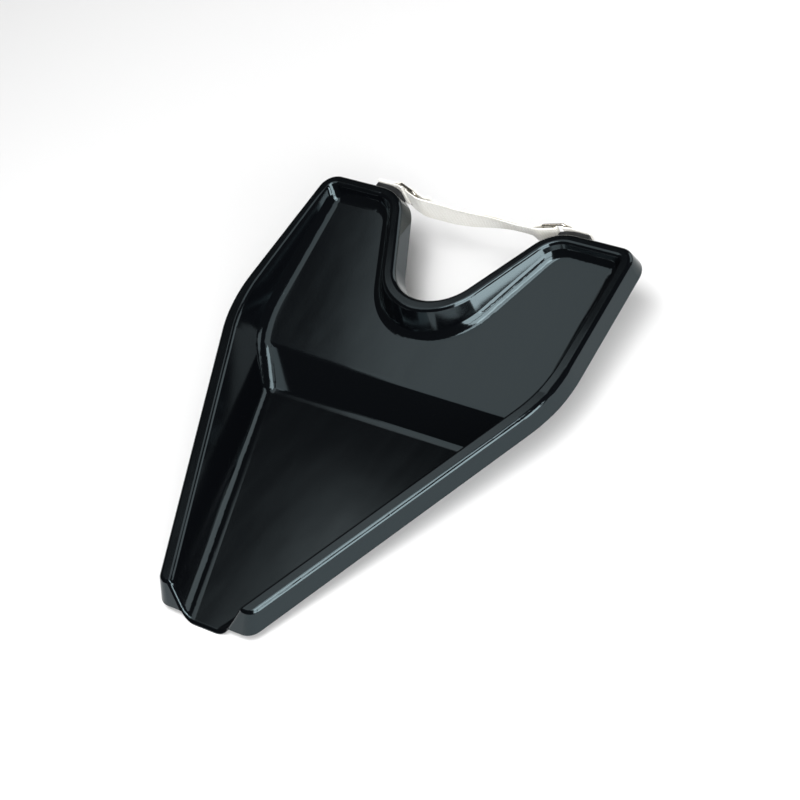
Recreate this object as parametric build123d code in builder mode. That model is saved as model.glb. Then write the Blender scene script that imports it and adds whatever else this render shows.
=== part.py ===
"""Hair rinse tray: a thermoformed basin with a neck notch, a pouring end and an adjustable strap.

Everything is in millimetres. +Z is up and z = 0 is the flat underside of the lower basin.
+Y runs from the pouring end to the neck end, and x = 0 is the tray's plane of symmetry.
"""
from build123d import *
import math
import os

os.makedirs("parts", exist_ok=True)

# --- sheet and rim -------------------------------------------------------------------------
SHEET = 3.0                 # thickness of the formed plastic sheet
BASIN_TILT = 5.5            # the rim climbs toward the neck end by this angle
RIM_TO_MIDDLE = 226.107     # from the rim's pouring end to the frame's origin, along the rim
RIM_OUTER = 7.0             # rim centre line to the rim's outer edge
RIM_INNER = 6.3             # rim centre line to the rim's inner edge
RIM_ROUND = 4.5             # rounding of the rim's outer edge
RIM_INNER_ROUND = 4.0       # rounding where the rim turns down into the basin
SKIRT_DRAFT = 14.0          # the skirt leans outward by this angle
SKIRT_SPOUT = 20.0          # skirt height at the pouring end
SKIRT_NECK = 18.0           # skirt height at the neck end
DECK_RISE = 5.2             # extra rise of the rim over the neck half

# --- plan outline of the rim's centre line, right half ----------------------------------------
SPOUT_HALF = 47.0
BREAK_HALF = 182.0
BREAK_AT = 290.0
NECK_HALF = 175.0
NECK_AT = 447.7
MOUTH_HALF = 92.1
NOTCH_POINT = 278.8         # where the notch's two straight flanks would meet
NOTCH_RADIUS = 55.9
MOUTH_RADIUS = 33.8
ARM_RADIUS = 11.0
ARM_INNER_RADIUS = 5.0      # the basin's corners in the arms, at the top of the blanks
ARM_INNER_FLARE = 0.3       # and how much rounder they get for each millimetre down
BREAK_RADIUS = 130.0
POUR_RADIUS = 4.0           # corners of the end walls at the pouring end

# --- basin -------------------------------------------------------------------------------------
WALL_DRAFT = 24.0           # basin walls lean inward going down
FLOOR_DROP = 26.0           # lower floor under the rim at the pouring end
FOOT_AT = 238.0             # foot of the step
STEP_AT = 275.0             # top of the step
STEP_DROP = 31.5            # platform under the rim line at the step
PLATFORM_SLOPE = 0.149      # platform's climb toward the neck
FLOOR_ROUND = 12.0          # floor to wall
FOOT_ROUND = 12.0           # foot of the step
STEP_ROUND = 16.0           # top edge of the step
POUR_LEAN = 33.0            # the pouring end is trimmed at this lean from the rim's normal

# --- strap ---------------------------------------------------------------------------------------
WEBBING = 1.6               # thickness of the webbing
BAND_WIDTH = 25.0
BAND_BOTTOM = -21.0         # lower edge of the webbing, from the rim line
BAND_Y = 450.0              # the taut stretch across the notch
BAND_STRAIGHT = 66.0        # half of the stretch between the two bends
RIGHT_TAIL_END = 6.0
LEFT_TAIL_END = 58.0
LEFT_TAIL_LIFT = 2.0
STACK = 3.1                 # two pressed layers of webbing
TAIL_GAP = 0.3
PAD_GAP = 0.05              # the tabs lie this far off the pads
PAD_OUTER = 11.4            # the pads' upright face, from the rim's centre line
PAD_BOTTOM = -12.0
PAD_TOP = 1.5
PAD_INNER_END = 93.0
PAD_OUTER_END = 124.0
TAB_END = 123.0
TAB_BEND = 106.0
RIVET_AT = (110.5, 118.5)
RIVET_HEIGHT = -5.0
RIVET_RADIUS = 2.0
RIVET_HEAD = 4.0
RIVET_HEAD_HEIGHT = 1.3
RIVET_TAIL = 3.2
RIVET_TAIL_HEIGHT = 3.6
RIVET_INSIDE = 450.0        # inner end of the rivets, along the rim
WIRE_RADIUS = 1.2           # the slides are bent from round wire
WIRE_BEND = 3.0
SLIDE_LENGTH = 25.0
SLIDE_HEIGHT = 31.0
SLIDE_MIDDLE = -8.5
SLIDE_X = 85.4
SLIDE_Y = 457.6
SLIDE_LEAN = 18.0
LOOP_GAP = 0.4              # running room between webbing and wire

BEYOND = 21.0               # the blanks run past the pouring end by this much before trimming
SKIN_TOP = 0.87             # the basin's skin reaches up into the rim's sheet to this depth
TOP = 12.0                  # blanks start this far over the rim line
DEEP = 56.0                 # and end this far under it
PAST_NECK = 40.0            # the side views run this far past the neck end
SIDE_START = -BEYOND - 5    # and start here, clear of the blanks
SIDE_TOP = TOP + 20         # and go up to here
HALF_SPAN = 300.0           # more than half the tray's width, for cuts right across it
HOLE_LENGTH = 30.0          # more than the rivets' whole length
NEAR = 1.0                  # how close an edge has to be to count as lying on a line
ON_TOP = 0.3                # and on the rim's top surface
TAB_ROUND = 0.8             # share of the tab's half thickness that its loop end is rounded by
BAND_ROUND = 0.9            # share of the band's loop that its corners are rounded by
BAND_IN = 3.0               # the band comes straight to this far from the slide
BAND_OUT = 2.0              # and leaves it straight for this far

tilt = math.radians(BASIN_TILT)
rim = Plane(
    origin=(0, -RIM_TO_MIDDLE * math.cos(tilt), (FLOOR_DROP + SHEET) * math.cos(tilt)),
    x_dir=(1, 0, 0),
    z_dir=(0, -math.sin(tilt), math.cos(tilt)),
)
side = Plane(origin=rim.origin, x_dir=rim.y_dir, z_dir=(1, 0, 0))
# upright plane across the tray as seen from the neck side, so it is offset along the rim
arm_end = Plane(origin=rim.origin, x_dir=(-1, 0, 0), z_dir=rim.y_dir)


def pour_end(height, inset):
    """Where the leaning pouring end is at a height, drawn in from its outer face by inset."""
    lean = math.radians(POUR_LEAN)
    return height * math.tan(lean) + inset / math.cos(lean)


def plan_corners(grow, end_y, end_radius, arm_radius):
    """Corners of the rim's plan outline moved outward by grow, with the rounding of each."""
    flank = math.radians(90) - math.atan2(NECK_AT - NOTCH_POINT, MOUTH_HALF)
    taper = (BREAK_HALF - SPOUT_HALF) / BREAK_AT
    lean = (NECK_HALF - BREAK_HALF) / (NECK_AT - BREAK_AT)
    spout_shift = grow * math.sqrt(1 + taper * taper)
    arm_shift = grow * math.sqrt(1 + lean * lean)
    end_half = SPOUT_HALF + taper * end_y + spout_shift
    # the trough edge and the arm edge meet at the break
    trough_at_zero = SPOUT_HALF + spout_shift
    arm_at_zero = BREAK_HALF - lean * BREAK_AT + arm_shift
    break_y = (arm_at_zero - trough_at_zero) / (taper - lean)
    break_x = trough_at_zero + taper * break_y
    neck_y = NECK_AT + grow
    notch_y = NOTCH_POINT + grow / math.sin(flank)
    return [
        ((end_half, end_y), end_radius),
        ((break_x, break_y), BREAK_RADIUS + grow),
        ((arm_at_zero + lean * neck_y, neck_y), arm_radius),
        (((neck_y - notch_y) * math.tan(flank), neck_y), MOUTH_RADIUS + grow),
        ((0, notch_y), NOTCH_RADIUS - grow),
    ]


def plan_sketch(height, grow, end_y=-BEYOND, end_radius=0, arm_radius=ARM_RADIUS):
    """The plan outline on a plane parallel to the rim, rounded at its corners."""
    right = plan_corners(grow, end_y, end_radius, arm_radius)
    left = [((-x, y), radius) for (x, y), radius in reversed(right[:-1])]
    corners = right + left
    with BuildSketch(rim.offset(height)) as outline:
        with BuildLine():
            Polyline(*[point for point, radius in corners], close=True)
        make_face()
        for (x, y), radius in corners:
            if radius:
                fillet(outline.vertices().sort_by_distance((x, y, 0))[0], radius)
    return outline.sketch


def rim_profile(drop, depth_spout, depth_neck):
    """Side view of the rim's blank: its top line, and how far it goes down."""
    rise = DECK_RISE / (NECK_AT - BREAK_AT)
    end = NECK_AT + PAST_NECK
    end_rise = rise * (end - BREAK_AT)
    return [
        (SIDE_START, -drop),
        (BREAK_AT, -drop),
        (end, end_rise - drop),
        (end, end_rise - depth_neck),
        (BREAK_AT, -depth_neck),
        (SIDE_START, -depth_spout),
    ]


def floor_profile(drop):
    """Side view of the space over the basin's floor, from the pouring end to the neck."""
    end = NECK_AT + PAST_NECK
    return [
        (SIDE_START, SIDE_TOP),
        (SIDE_START, floor_height(SIDE_START, drop)),
        (FOOT_AT, floor_height(FOOT_AT, drop)),
        (STEP_AT, floor_height(STEP_AT, drop)),
        (end, floor_height(end, drop)),
        (end, SIDE_TOP),
    ]


def drafted_levels(edge_at_rim, draft):
    """The two levels of a drafted blank: height over the rim line and outline growth."""
    lean = math.tan(math.radians(draft))
    return [(TOP, edge_at_rim - lean * TOP), (-DEEP, edge_at_rim + lean * DEEP)]


def on_rim_top(edge):
    """True for an edge that lies in the rim blank's top surface."""
    middle = rim.to_local_coords(edge @ 0.5)
    rise = DECK_RISE / (NECK_AT - BREAK_AT) * max(0, middle.Y - BREAK_AT)
    return abs(middle.Z - rise) < ON_TOP and middle.Y > -BEYOND + NEAR


def on_deck_fold(edge):
    """True for the line across the blank's top where the rim starts to rise."""
    return across_tray(edge) and rim.to_local_coords(edge @ 0.5).Y > BREAK_AT / 2


def across_tray(edge):
    """True for an edge that runs straight across the tray from one side to the other."""
    return abs(rim.to_local_coords(edge @ 0.5).X) < NEAR and edge.geom_type == GeomType.LINE


def floor_height(along, drop):
    """Height of the floor profile over the rim line at a distance from the pouring end."""
    if along <= FOOT_AT:
        return -FLOOR_DROP - drop - math.tan(tilt) * along
    foot = -FLOOR_DROP - drop - math.tan(tilt) * FOOT_AT
    step = -STEP_DROP - drop
    if along <= STEP_AT:
        return foot + (step - foot) * (along - FOOT_AT) / (STEP_AT - FOOT_AT)
    return step + PLATFORM_SLOPE * (along - STEP_AT)


def around_floor(edge):
    """True for an edge where a basin wall meets the floor."""
    ends = [rim.to_local_coords(edge @ part) for part in (0.0, 0.5, 1.0)]
    if min(abs(end.X) for end in ends) < NEAR and edge.geom_type == GeomType.LINE:
        return False
    if max(end.Z for end in ends) > TOP / 2:
        return False
    return max(end.Y for end in ends) > -BEYOND + NEAR and not across_tray(edge)


def on_basin_wall(edge):
    """True for an edge that also lies on the wall of the space in the basin."""
    return Vertex(edge @ 0.5).distance_to(air) < ON_TOP / 3


# --- rim and skirt: the solid blank, and the hollow under it ------------------------------------
with BuildPart() as rim_blank:
    for height, grow in drafted_levels(RIM_OUTER, SKIRT_DRAFT):
        add(plan_sketch(height, grow, pour_end(height, 0), POUR_RADIUS + grow, ARM_RADIUS + grow))
    loft(ruled=True)
    with BuildSketch(side):
        with BuildLine():
            Polyline(*rim_profile(0, SKIRT_SPOUT, SKIRT_NECK), close=True)
        make_face()
    extrude(amount=HALF_SPAN, both=True, mode=Mode.INTERSECT)
    outer_edges = [edge for edge in rim_blank.edges() if on_rim_top(edge) and not on_deck_fold(edge)]
    fillet(outer_edges, RIM_ROUND)

with BuildPart() as rim_hollow:
    wall = SHEET / math.cos(math.radians(SKIRT_DRAFT))
    for height, grow in drafted_levels(RIM_OUTER - wall, SKIRT_DRAFT):
        add(plan_sketch(height, grow, pour_end(height, SHEET), POUR_RADIUS + grow, ARM_RADIUS + grow))
    loft(ruled=True)
    with BuildSketch(side):
        with BuildLine():
            Polyline(*rim_profile(SHEET, DEEP - NEAR, DEEP - NEAR), close=True)
        make_face()
    extrude(amount=HALF_SPAN, both=True, mode=Mode.INTERSECT)


# --- basin: the space in it, and the same grown by the sheet --------------------------------------
def basin_blank(grow, drop, floor_round, foot_round, step_round):
    """The solid that fills the basin, moved out by grow and down by drop, with its floor rounded."""
    with BuildPart() as blank:
        for height, outline in drafted_levels(grow - RIM_INNER, -WALL_DRAFT):
            corner = grow + ARM_INNER_RADIUS + ARM_INNER_FLARE * (TOP - height)
            add(plan_sketch(height, outline, arm_radius=corner))
        loft(ruled=True)
        with BuildSketch(side):
            with BuildLine():
                Polyline(*floor_profile(drop), close=True)
            make_face()
        extrude(amount=HALF_SPAN, both=True, mode=Mode.INTERSECT)
        foot = (0, FOOT_AT, floor_height(FOOT_AT, drop))
        fillet(blank.edges().sort_by_distance(rim.from_local_coords(foot))[0], foot_round)
        step = (0, STEP_AT, floor_height(STEP_AT, drop))
        fillet(blank.edges().sort_by_distance(rim.from_local_coords(step))[0], step_round)
        floor_edges = [edge for edge in blank.edges() if around_floor(edge)]
        fillet(floor_edges, floor_round)
    return blank.part


air = basin_blank(0, 0, FLOOR_ROUND, FOOT_ROUND, STEP_ROUND)
wall = SHEET / math.cos(math.radians(WALL_DRAFT))
skin = basin_blank(wall, SHEET, FLOOR_ROUND + SHEET, FOOT_ROUND + SHEET, STEP_ROUND - SHEET)

# the skin of the basin, cut off just inside the rim's top sheet
with BuildPart() as basin_wall:
    add(skin)
    with BuildSketch(side):
        with BuildLine():
            Polyline(*rim_profile(SHEET * SKIN_TOP, DEEP, DEEP), close=True)
        make_face()
    extrude(amount=HALF_SPAN, both=True, mode=Mode.INTERSECT)

def rivet_cylinders(start, length, radius):
    """One cylinder on each rivet's axis, from start along the rim."""
    with BuildPart() as cylinders:
        with BuildSketch(arm_end.offset(start)):
            for side_sign in (-1, 1):
                for spot in RIVET_AT:
                    with Locations((side_sign * spot, RIVET_HEIGHT)):
                        Circle(radius)
        extrude(amount=length)
    return cylinders.part


with BuildPart() as rivet_holes:
    add(rivet_cylinders(RIVET_INSIDE - HOLE_LENGTH / 3, HOLE_LENGTH, RIVET_RADIUS))

# --- the tray: one formed sheet, trimmed at the pouring end and drilled for the rivets -----------
with BuildPart() as tray_shell:
    add(rim_blank.part)
    add(rim_hollow.part, mode=Mode.SUBTRACT)
    add(basin_wall.part)
    add(air, mode=Mode.SUBTRACT)
    with BuildSketch(side):
        with BuildLine():
            Polyline(
                (SIDE_START - DEEP, SIDE_TOP),
                (pour_end(SIDE_TOP, 0), SIDE_TOP),
                (pour_end(-DEEP, 0), -DEEP),
                (SIDE_START - DEEP, -DEEP),
                close=True,
            )
        make_face()
    extrude(amount=HALF_SPAN, both=True, mode=Mode.SUBTRACT)
    inner_edges = [edge for edge in tray_shell.edges() if on_rim_top(edge) and on_basin_wall(edge)]
    fillet(inner_edges, RIM_INNER_ROUND)
    add(rivet_holes.part, mode=Mode.SUBTRACT)


# --- wedge pads that make the drafted arm ends upright for the strap ------------------------------
with BuildPart() as anchor_pad_right:
    add(plan_sketch(PAD_BOTTOM, PAD_OUTER))
    extrude(amount=PAD_TOP - PAD_BOTTOM, dir=rim.z_dir)
    with BuildSketch(rim.offset(PAD_BOTTOM)):
        with Locations(((PAD_INNER_END + PAD_OUTER_END) / 2, NECK_AT)):
            Rectangle(PAD_OUTER_END - PAD_INNER_END, 2 * HOLE_LENGTH)
    extrude(amount=PAD_TOP - PAD_BOTTOM, mode=Mode.INTERSECT)
    add(rim_blank.part, mode=Mode.SUBTRACT)
    add(rivet_holes.part, mode=Mode.SUBTRACT)

with BuildPart() as anchor_pad_left:
    add(anchor_pad_right.part)
    mirror(about=Plane.YZ, mode=Mode.REPLACE)


# --- strap hardware, laid out in plan along the rim ----------------------------------------------
def slide_point(along, out):
    """A point of the right slide in plan: along it toward the notch, and out from its mid-plane."""
    lean = math.radians(SLIDE_LEAN)
    x = SLIDE_X - along * math.cos(lean) - out * math.sin(lean)
    y = SLIDE_Y - along * math.sin(lean) + out * math.cos(lean)
    return (x, y)


slide_middle = rim.from_local_coords(Vector(*slide_point(0, 0), SLIDE_MIDDLE))
slide_next = rim.from_local_coords(Vector(*slide_point(1, 0), SLIDE_MIDDLE))
slide_in = slide_next - slide_middle
slide_up = rim.z_dir

with BuildPart() as strap_slide_right:
    frame_plane = Plane(origin=slide_middle, x_dir=slide_in, z_dir=slide_in.cross(slide_up))
    half_long = SLIDE_LENGTH / 2 - WIRE_RADIUS
    half_tall = SLIDE_HEIGHT / 2 - WIRE_RADIUS
    with BuildLine(frame_plane) as outline:
        FilletPolyline(
            (-half_long, -half_tall),
            (half_long, -half_tall),
            (half_long, half_tall),
            (-half_long, half_tall),
            close=True,
            radius=WIRE_BEND,
        )
    loop = outline.wires()[0]
    with BuildSketch(Plane(origin=loop @ 0, z_dir=loop % 0)):
        Circle(WIRE_RADIUS)
    sweep(path=loop)
    bar_foot = slide_middle - slide_up * half_tall
    with BuildSketch(Plane(origin=bar_foot, x_dir=slide_in, z_dir=slide_up)):
        Circle(WIRE_RADIUS)
    extrude(amount=2 * half_tall)

with BuildPart() as strap_slide_left:
    add(strap_slide_right.part)
    mirror(about=Plane.YZ, mode=Mode.REPLACE)


def webbing(points, radius):
    """One length of webbing that stands on edge along a path in plan."""
    with BuildPart() as length:
        with BuildSketch(rim.offset(BAND_BOTTOM)):
            with BuildLine():
                FilletPolyline(*points, radius=radius)
            trace(line_width=WEBBING)
        extrude(amount=BAND_WIDTH)
    return length.part


bar_at = SLIDE_LENGTH / 2 - WIRE_RADIUS
gap = WIRE_RADIUS + LOOP_GAP + WEBBING / 2
pad_face = NECK_AT + PAD_OUTER + PAD_GAP

with BuildPart() as strap_tab_right:
    half = gap + WEBBING / 2
    with BuildSketch(rim.offset(BAND_BOTTOM)) as tab:
        with BuildLine():
            Polyline(
                (TAB_END, pad_face),
                (TAB_BEND, pad_face),
                slide_point(-bar_at - half, -half),
                slide_point(-bar_at + half, -half),
                slide_point(-bar_at + half, half),
                slide_point(-bar_at - half, half),
                (TAB_BEND, pad_face + STACK),
                (TAB_END, pad_face + STACK),
                close=True,
            )
        make_face()
        for out in (-half, half):
            corner = slide_point(-bar_at + half, out)
            fillet(tab.vertices().sort_by_distance((*corner, 0))[0], half * TAB_ROUND)
        with Locations(slide_point(-bar_at, 0)):
            Circle(WIRE_RADIUS + LOOP_GAP, mode=Mode.SUBTRACT)
    extrude(amount=BAND_WIDTH)
    add(rivet_holes.part, mode=Mode.SUBTRACT)

with BuildPart() as strap_tab_left:
    add(strap_tab_right.part)
    mirror(about=Plane.YZ, mode=Mode.REPLACE)


def mirrored(points):
    """The same points on the other side of the tray."""
    return [(-x, y) for x, y in points]


with BuildPart() as strap_band:
    right_turn = [
        (BAND_STRAIGHT, BAND_Y),
        slide_point(bar_at + BAND_IN, -gap),
        slide_point(-gap, -gap),
        slide_point(-gap, gap),
        slide_point(bar_at + BAND_OUT, gap),
        (BAND_STRAIGHT - BAND_OUT, BAND_Y + WEBBING + TAIL_GAP),
    ]
    right_tail = [(RIGHT_TAIL_END, BAND_Y + WEBBING + TAIL_GAP)]
    left_tail = [(LEFT_TAIL_END, BAND_Y + WEBBING + TAIL_GAP + LEFT_TAIL_LIFT)]
    left_turn = right_turn[:-1]
    band_path = mirrored(left_tail + left_turn[::-1]) + right_turn + right_tail
    add(webbing(band_path, gap * BAND_ROUND))

# --- rivets through the tabs, the pads and the skirt ----------------------------------------------
with BuildPart() as rivets:
    head_at = pad_face + STACK
    add(rivet_cylinders(head_at, RIVET_HEAD_HEIGHT, RIVET_HEAD))
    add(rivet_cylinders(RIVET_INSIDE, head_at - RIVET_INSIDE, RIVET_RADIUS))
    add(rivet_cylinders(RIVET_INSIDE, RIVET_TAIL_HEIGHT, RIVET_TAIL))
    add(tray_shell.part, mode=Mode.SUBTRACT)

pieces = {
    "tray_shell": tray_shell,
    "anchor_pad_left": anchor_pad_left,
    "anchor_pad_right": anchor_pad_right,
    "strap_tab_left": strap_tab_left,
    "strap_tab_right": strap_tab_right,
    "strap_slide_left": strap_slide_left,
    "strap_slide_right": strap_slide_right,
    "strap_band": strap_band,
    "rivets": rivets,
}
for name, piece in pieces.items():
    piece.part.label = name
    export_step(piece.part, f"parts/{name}.step")
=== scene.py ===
"""Hair rinse tray with its neck strap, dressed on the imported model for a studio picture.

The tray's sizes are laid out on the plane of its rim in millimetres: x across the tray, y along
the rim from the pouring end to the neck, z up from the rim's line. RimPlane turns them into the
frame's metres.
"""
import logging
import math
import random
from dataclasses import dataclass, field
from enum import Enum
from typing import Callable, Sequence, Union

import bmesh
import bpy
from mathutils import Matrix, Quaternion, Vector

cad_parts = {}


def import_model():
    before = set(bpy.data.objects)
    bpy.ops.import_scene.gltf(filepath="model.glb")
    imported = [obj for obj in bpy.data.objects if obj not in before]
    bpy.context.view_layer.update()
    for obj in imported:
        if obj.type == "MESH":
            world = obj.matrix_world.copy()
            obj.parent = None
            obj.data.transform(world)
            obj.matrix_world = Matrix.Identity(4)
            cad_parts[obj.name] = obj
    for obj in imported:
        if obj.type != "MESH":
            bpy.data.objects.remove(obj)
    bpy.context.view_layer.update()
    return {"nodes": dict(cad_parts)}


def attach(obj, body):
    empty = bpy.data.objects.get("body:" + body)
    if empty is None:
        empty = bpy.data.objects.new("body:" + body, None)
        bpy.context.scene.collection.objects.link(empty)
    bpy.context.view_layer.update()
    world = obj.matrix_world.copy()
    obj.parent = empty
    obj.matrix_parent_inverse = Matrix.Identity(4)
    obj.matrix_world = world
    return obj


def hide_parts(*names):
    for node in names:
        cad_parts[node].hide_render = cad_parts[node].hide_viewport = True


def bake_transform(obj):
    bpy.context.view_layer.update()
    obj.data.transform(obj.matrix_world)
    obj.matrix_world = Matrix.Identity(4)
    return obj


log = logging.getLogger("rinse_tray")

Node = bpy.types.Node
Socket = bpy.types.NodeSocket
Tree = bpy.types.NodeTree
Material = bpy.types.Material
Object = bpy.types.Object
Plan = tuple[float, float]
SocketValue = Union[Socket, float, int, bool, tuple, Vector, str]

MM = 0.001
RIM = "tray"
CORNER_REACH = 0.48  # share of a run that a rounded corner may take at each end
CORNER_STEPS = 8
PATH_STEP = 1.2  # millimetres between stations along the webbing
SELVEDGES = (0.004, 0.996)  # where the two edge lines lie on the webbing's height
SENSOR_MM = 36.0


class Side(Enum):
    """The two sides of the tray, as the sign of x."""

    RIGHT = 1
    LEFT = -1

    @property
    def word(self) -> str:
        """The side's name as it stands in piece and body names."""
        return self.name.lower()


# --- small helpers ---------------------------------------------------------------------------


def linear(code: str) -> tuple[float, float, float, float]:
    """Turns an sRGB hex colour into the linear colour that a shader socket takes.

    Args:
        code: six hex digits with a leading hash.

    Returns:
        Red, green, blue and an alpha of one.
    """
    parts = [int(code[i:i + 2], 16) / 255 for i in (1, 3, 5)]
    out = [p / 12.92 if p <= 0.04045 else ((p + 0.055) / 1.055) ** 2.4 for p in parts]
    return (out[0], out[1], out[2], 1.0)


def add_node(
    tree: Tree,
    kind: str,
    inputs: dict[Union[str, int], SocketValue] | None = None,
    **settings: object,
) -> Node:
    """Adds one node with its settings, its constants and its links.

    Args:
        tree: the shader or geometry tree that takes the node.
        kind: the node's type identifier.
        inputs: a constant or an output socket for each input, by name or number.
        **settings: the node's own properties.

    Returns:
        The new node.
    """
    node = tree.nodes.new(kind)
    for name, value in settings.items():
        setattr(node, name, value)
    for key, value in (inputs or {}).items():
        if isinstance(value, Socket):
            tree.links.new(value, node.inputs[key])
        else:
            node.inputs[key].default_value = value
    return node


def set_ramp(node: Node, stops: Sequence[tuple[float, str]]) -> None:
    """Sets the stops of a colour ramp.

    Args:
        node: the ramp node.
        stops: position and hex colour of each stop, in order.
    """
    ramp = node.color_ramp
    while len(ramp.elements) < len(stops):
        ramp.elements.new(0.5)
    for element, (place, code) in zip(ramp.elements, stops):
        element.position = place
        element.color = linear(code)


def start_material(name: str) -> tuple[Material, Tree, Node]:
    """Starts a material.

    Args:
        name: the material's name.

    Returns:
        The material, its tree and its Principled shader.
    """
    material = bpy.data.materials.new(name)
    material.use_nodes = True
    return material, material.node_tree, material.node_tree.nodes["Principled BSDF"]


def maths(tree: Tree, operation: str, *values: Union[Node, float]) -> Node:
    """Adds an arithmetic node on some nodes' first outputs and some constants.

    Args:
        tree: the shader or geometry tree.
        operation: the node's operation.
        *values: the node's inputs, in order.

    Returns:
        The new node.
    """
    inputs = {
        i: value.outputs[0] if isinstance(value, Node) else value
        for i, value in enumerate(values)
    }
    return add_node(tree, "ShaderNodeMath", inputs, operation=operation)


def object_noise(tree: Tree, place: Node, size_mm: float, detail: float) -> Node:
    """Adds a noise on Object coordinates.

    Args:
        tree: the shader tree.
        place: the texture coordinate node.
        size_mm: about how large the noise's features are, in millimetres.
        detail: how many finer layers it has.

    Returns:
        The noise node.
    """
    return add_node(
        tree, "ShaderNodeTexNoise",
        {"Vector": place.outputs["Object"], "Scale": 1 / (size_mm * MM), "Detail": detail},
    )


def start_tree(name: str, inputs: dict[str, str]) -> tuple[Tree, Node]:
    """Starts a geometry tree that takes a mesh and some values, and puts out a mesh.

    Args:
        name: the tree's name.
        inputs: socket type of each value, by name.

    Returns:
        The tree and its input node.
    """
    tree = bpy.data.node_groups.new(name, "GeometryNodeTree")
    for socket, kind in {"Geometry": "NodeSocketGeometry", **inputs}.items():
        tree.interface.new_socket(socket, in_out="INPUT", socket_type=kind)
    tree.interface.new_socket("Geometry", in_out="OUTPUT", socket_type="NodeSocketGeometry")
    return tree, add_node(tree, "NodeGroupInput")


def finish_tree(tree: Tree, instances: Socket, material: Material) -> None:
    """Ends a geometry tree: its instances are made real and given their material."""
    real = add_node(tree, "GeometryNodeRealizeInstances", {0: instances})
    dressed = add_node(
        tree, "GeometryNodeSetMaterial", {0: real.outputs[0], "Material": material},
    )
    add_node(tree, "NodeGroupOutput", {0: dressed.outputs[0]})


def mesh_object(
    name: str,
    points: Sequence[Vector],
    faces: Sequence[Sequence[int]],
    edges: Sequence[tuple[int, int]] = (),
) -> Object:
    """Makes a mesh object at the origin from points already in the frame.

    Args:
        name: the object's name.
        points: vertex places in metres.
        faces: vertex numbers of each face.
        edges: loose edges, where there are no faces.

    Returns:
        The new object, linked to the scene.
    """
    mesh = bpy.data.meshes.new(name)
    mesh.from_pydata([tuple(p) for p in points], list(edges), [tuple(f) for f in faces])
    mesh.update()
    obj = bpy.data.objects.new(name, mesh)
    bpy.context.scene.collection.objects.link(obj)
    return obj


def finish_faces(obj: Object, angle_deg: float) -> None:
    """Turns a mesh's faces outward and smooths its shading.

    Args:
        obj: the mesh object.
        angle_deg: edges that turn by more than this stay sharp.
    """
    shell = bmesh.new()
    shell.from_mesh(obj.data)
    bmesh.ops.recalc_face_normals(shell, faces=shell.faces)
    limit = math.radians(angle_deg)
    for face in shell.faces:
        face.smooth = True
    for edge in shell.edges:
        edge.smooth = len(edge.link_faces) != 2 or edge.calc_face_angle(0.0) < limit
    shell.to_mesh(obj.data)
    shell.free()


def run_tree(
    name: str,
    carrier: Object,
    tree: Tree,
    values: dict[str, Union[float, int]],
) -> Object:
    """Runs a geometry tree on a carrier, and keeps the result as a plain mesh object.

    Args:
        name: the finished piece's name.
        carrier: the mesh that the tree starts from, which is removed.
        tree: the geometry tree.
        values: the tree's inputs, by name.

    Returns:
        The finished object, at the origin.
    """
    modifier = carrier.modifiers.new(name, "NODES")
    modifier.node_group = tree
    ids = {s.name: s.identifier for s in tree.interface.items_tree if s.in_out == "INPUT"}
    for key, value in values.items():
        modifier[ids[key]] = value
    bpy.context.view_layer.update()
    graph = bpy.context.evaluated_depsgraph_get()
    mesh = bpy.data.meshes.new_from_object(carrier.evaluated_get(graph))
    mesh.name = name
    bpy.data.objects.remove(carrier)
    obj = bpy.data.objects.new(name, mesh)
    bpy.context.scene.collection.objects.link(obj)
    return obj


def tube_faces(rows: int, sides: int) -> list[tuple[int, ...]]:
    """The faces of a tube whose points run round it row by row."""
    faces: list[tuple[int, ...]] = []
    for i in range(rows - 1):
        here, above = i * sides, (i + 1) * sides
        for j in range(sides):
            k = (j + 1) % sides
            faces.append((here + j, here + k, above + k, above + j))
    return faces


def round_corners(points: Sequence[Plan], radius: float, step: float) -> list[Plan]:
    """Rounds a path's corners and samples it evenly.

    Args:
        points: the path's corners, in millimetres.
        radius: rounding of every corner, as far as its two runs allow.
        step: distance between samples.

    Returns:
        Evenly spaced points from the first corner to the last.
    """
    dense: list[Vector] = [Vector(points[0])]
    for before, corner, after in zip(points, points[1:], points[2:]):
        here = Vector(corner)
        come, leave = Vector(before) - here, Vector(after) - here
        turn = math.pi - come.angle(leave)
        reach = min(
            radius * math.tan(turn / 2), come.length * CORNER_REACH, leave.length * CORNER_REACH
        )
        start, end = here + come.normalized() * reach, here + leave.normalized() * reach
        for i in range(CORNER_STEPS + 1):
            t = i / CORNER_STEPS
            dense.append(start * (1 - t) ** 2 + here * 2 * t * (1 - t) + end * t * t)
    dense.append(Vector(points[-1]))
    lengths = [0.0]
    for a, b in zip(dense, dense[1:]):
        lengths.append(lengths[-1] + (b - a).length)
    count = max(2, round(lengths[-1] / step))
    out, k = [], 0
    for i in range(count + 1):
        want = lengths[-1] * i / count
        while k < len(lengths) - 2 and lengths[k + 1] < want:
            k += 1
        span = max(lengths[k + 1] - lengths[k], 1e-9)
        spot = dense[k].lerp(dense[k + 1], (want - lengths[k]) / span)
        out.append((spot.x, spot.y))
    return out


def ease(value: float, start: float, end: float) -> float:
    """Runs smoothly from 0 at start to 1 at end."""
    t = min(1.0, max(0.0, (value - start) / (end - start)))
    return t * t * (3 - 2 * t)


def direction_to(azimuth: float, elevation: float) -> Vector:
    """The way from the tray to a lamp or camera, from its azimuth and elevation in degrees."""
    az, el = math.radians(azimuth), math.radians(elevation)
    return Vector((math.sin(az) * math.cos(el), -math.cos(az) * math.cos(el), math.sin(el)))


# --- finishes --------------------------------------------------------------------------------


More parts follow.
